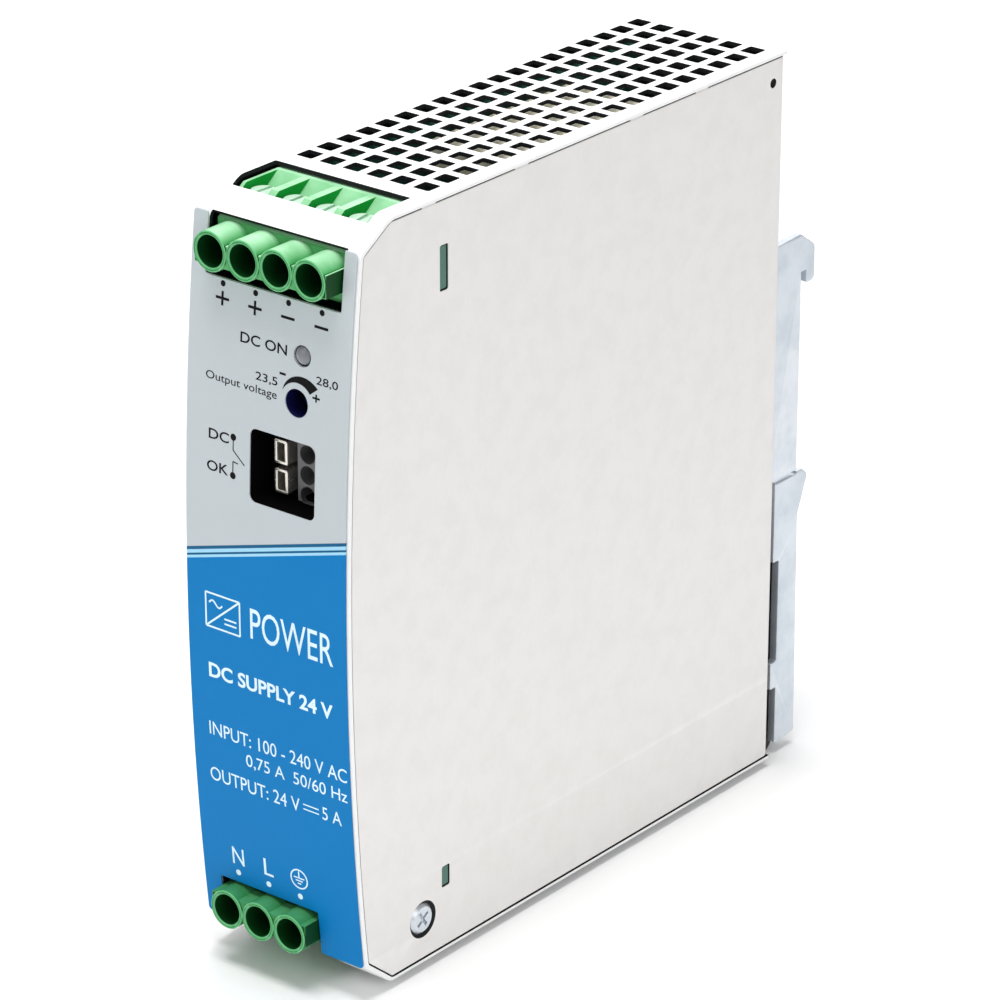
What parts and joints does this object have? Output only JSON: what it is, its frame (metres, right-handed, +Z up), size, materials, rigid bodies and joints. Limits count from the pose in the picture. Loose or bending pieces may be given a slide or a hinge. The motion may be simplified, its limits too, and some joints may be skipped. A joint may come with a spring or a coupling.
{
  "type": "din rail power supply",
  "caption": "Narrow enclosed switching power supply for a 35 mm top-hat rail: perforated white cover, bulged front, screw terminals above and below, sprung rail latch behind.",
  "frame": {"origin": "under the middle of the whole object, on the level of its lowest point (the release tab of the latch)", "axes": "+Z up, along the height; +X to the right as seen from the front; +Y to the back, towards the rail"},
  "size_m": [0.032, 0.1216, 0.1266],
  "materials": {
    "cover_paint": "fine satin powder paint, white",
    "bare_steel": "bare cold-rolled sheet, faint mottled grain, soft satin",
    "label_film": "printed overlay film: pale grey upper part, blue lower part",
    "zinc_plate": "bright bluish zinc plating",
    "terminal_green": "translucent-looking green moulded polyamide",
    "mains_terminal_green": "darker green moulded polyamide",
    "black_moulding": "black moulded plastic, fine spark texture",
    "tinned_metal": "tinned contact metal, satin",
    "spring_steel": "drawn spring wire",
    "lamp_lens": "diffused grey lens",
    "adjuster_blue": "blue moulded body",
    "adjuster_rotor": "dark rotor",
    "board_laminate": "green glass-fibre laminate with solder mask",
    "insulation_film": "thin clear-white insulating film",
    "ferrite": "dark grey ferrite, ground",
    "winding_tape": "pale yellow polyester tape",
    "heatsink_aluminium": "mill-finish aluminium",
    "film_capacitor_yellow": "yellow moulded box",
    "copper_wire": "enamelled copper wire",
    "fuse_ceramic": "glazed ceramic",
    "capacitor_sleeve": "shrunk dark plastic sleeve"
  },
  "bodies": {
    "case": {"case_cover": "cover_paint", "case_chassis": "bare_steel", "front_label": "label_film", "case_screw_right": "zinc_plate", "case_screw_left": "zinc_plate", "output_terminal_block": "terminal_green", "input_terminal_block": "mains_terminal_green", "alarm_socket": "black_moulding", "alarm_contact_1": "tinned_metal", "alarm_contact_2": "tinned_metal", "status_lamp": "lamp_lens", "adjuster_body": "adjuster_blue", "front_board": "board_laminate", "main_board": "board_laminate", "insulation_sheet": "insulation_film", "transformer_core": "ferrite", "transformer_coil": "winding_tape", "output_heatsink": "heatsink_aluminium", "mains_heatsink": "heatsink_aluminium", "output_rectifier": "black_moulding", "switching_transistor": "black_moulding", "bridge_rectifier": "black_moulding", "mains_capacitor": "film_capacitor_yellow", "alarm_relay": "black_moulding", "mains_choke": "copper_wire", "fuse": "fuse_ceramic", "bulk_capacitor": "capacitor_sleeve", "output_capacitor_1": "capacitor_sleeve", "output_capacitor_2": "capacitor_sleeve", "rail_bracket": "zinc_plate", "bracket_screw_1": "zinc_plate", "bracket_screw_2": "zinc_plate", "latch_spring": "spring_steel", "output_contact_1": "tinned_metal", "output_contact_2": "tinned_metal", "output_contact_3": "tinned_metal", "output_contact_4": "tinned_metal", "input_contact_1": "tinned_metal", "input_contact_2": "tinned_metal", "input_contact_3": "tinned_metal"},
    "latch": {"latch_jaw": "zinc_plate", "latch_slide": "black_moulding"},
    "adjuster_rotor": {"adjuster_rotor": "adjuster_rotor"},
    "output_clamp_1": {"output_clamp_1": "tinned_metal"},
    "output_screw_1": {"output_screw_1": "zinc_plate"},
    "output_clamp_2": {"output_clamp_2": "tinned_metal"},
    "output_screw_2": {"output_screw_2": "zinc_plate"},
    "output_clamp_3": {"output_clamp_3": "tinned_metal"},
    "output_screw_3": {"output_screw_3": "zinc_plate"},
    "output_clamp_4": {"output_clamp_4": "tinned_metal"},
    "output_screw_4": {"output_screw_4": "zinc_plate"},
    "input_clamp_1": {"input_clamp_1": "tinned_metal"},
    "input_screw_1": {"input_screw_1": "zinc_plate"},
    "input_clamp_2": {"input_clamp_2": "tinned_metal"},
    "input_screw_2": {"input_screw_2": "zinc_plate"},
    "input_clamp_3": {"input_clamp_3": "tinned_metal"},
    "input_screw_3": {"input_screw_3": "zinc_plate"}
  },
  "joints": [
    {"name": "latch_slide", "type": "slide", "parent": "case", "child": "latch", "axis": [0, 0, -1], "range_m": [0, 0.005], "stiffness_N_per_m": 700, "springref_m": -0.008, "deforming": ["latch_spring"]},
    {"name": "adjuster_turn", "type": "hinge", "parent": "case", "child": "adjuster_rotor", "pos_m": [0.0055, -0.05585, 0.0977], "axis": [0, -1, 0], "range_deg": [-135, 135]},
    {"name": "output_clamp_1_slide", "type": "slide", "parent": "case", "child": "output_clamp_1", "axis": [0, 0, -1], "range_m": [0, 0.0022]},
    {"name": "output_screw_1_turn", "type": "hinge", "parent": "output_clamp_1", "child": "output_screw_1", "pos_m": [-0.00928, -0.04855, 0.1185], "axis": [0, 0, -1], "range_deg": [0, 1586]},
    {"name": "output_clamp_2_slide", "type": "slide", "parent": "case", "child": "output_clamp_2", "axis": [0, 0, -1], "range_m": [0, 0.0022]},
    {"name": "output_screw_2_turn", "type": "hinge", "parent": "output_clamp_2", "child": "output_screw_2", "pos_m": [-0.00293, -0.04855, 0.1185], "axis": [0, 0, -1], "range_deg": [0, 1586]},
    {"name": "output_clamp_3_slide", "type": "slide", "parent": "case", "child": "output_clamp_3", "axis": [0, 0, -1], "range_m": [0, 0.0022]},
    {"name": "output_screw_3_turn", "type": "hinge", "parent": "output_clamp_3", "child": "output_screw_3", "pos_m": [0.00343, -0.04855, 0.1185], "axis": [0, 0, -1], "range_deg": [0, 1586]},
    {"name": "output_clamp_4_slide", "type": "slide", "parent": "case", "child": "output_clamp_4", "axis": [0, 0, -1], "range_m": [0, 0.0022]},
    {"name": "output_screw_4_turn", "type": "hinge", "parent": "output_clamp_4", "child": "output_screw_4", "pos_m": [0.00978, -0.04855, 0.1185], "axis": [0, 0, -1], "range_deg": [0, 1586]},
    {"name": "input_clamp_1_slide", "type": "slide", "parent": "case", "child": "input_clamp_1", "axis": [0, 0, 1], "range_m": [0, 0.0022]},
    {"name": "input_screw_1_turn", "type": "hinge", "parent": "input_clamp_1", "child": "input_screw_1", "pos_m": [-0.0088, -0.04855, 0.00985], "axis": [0, 0, 1], "range_deg": [0, 1586]},
    {"name": "input_clamp_2_slide", "type": "slide", "parent": "case", "child": "input_clamp_2", "axis": [0, 0, 1], "range_m": [0, 0.0022]},
    {"name": "input_screw_2_turn", "type": "hinge", "parent": "input_clamp_2", "child": "input_screw_2", "pos_m": [-0.00245, -0.04855, 0.00985], "axis": [0, 0, 1], "range_deg": [0, 1586]},
    {"name": "input_clamp_3_slide", "type": "slide", "parent": "case", "child": "input_clamp_3", "axis": [0, 0, 1], "range_m": [0, 0.0022]},
    {"name": "input_screw_3_turn", "type": "hinge", "parent": "input_clamp_3", "child": "input_screw_3", "pos_m": [0.0039, -0.04855, 0.00985], "axis": [0, 0, 1], "range_deg": [0, 1586]}
  ],
  "couplings": [
    {"joint": "output_screw_1_turn", "follows": "output_clamp_1_slide", "rad_per_m": 12566},
    {"joint": "output_screw_2_turn", "follows": "output_clamp_2_slide", "rad_per_m": 12566},
    {"joint": "output_screw_3_turn", "follows": "output_clamp_3_slide", "rad_per_m": 12566},
    {"joint": "output_screw_4_turn", "follows": "output_clamp_4_slide", "rad_per_m": 12566},
    {"joint": "input_screw_1_turn", "follows": "input_clamp_1_slide", "rad_per_m": 12566},
    {"joint": "input_screw_2_turn", "follows": "input_clamp_2_slide", "rad_per_m": 12566},
    {"joint": "input_screw_3_turn", "follows": "input_clamp_3_slide", "rad_per_m": 12566}
  ]
}
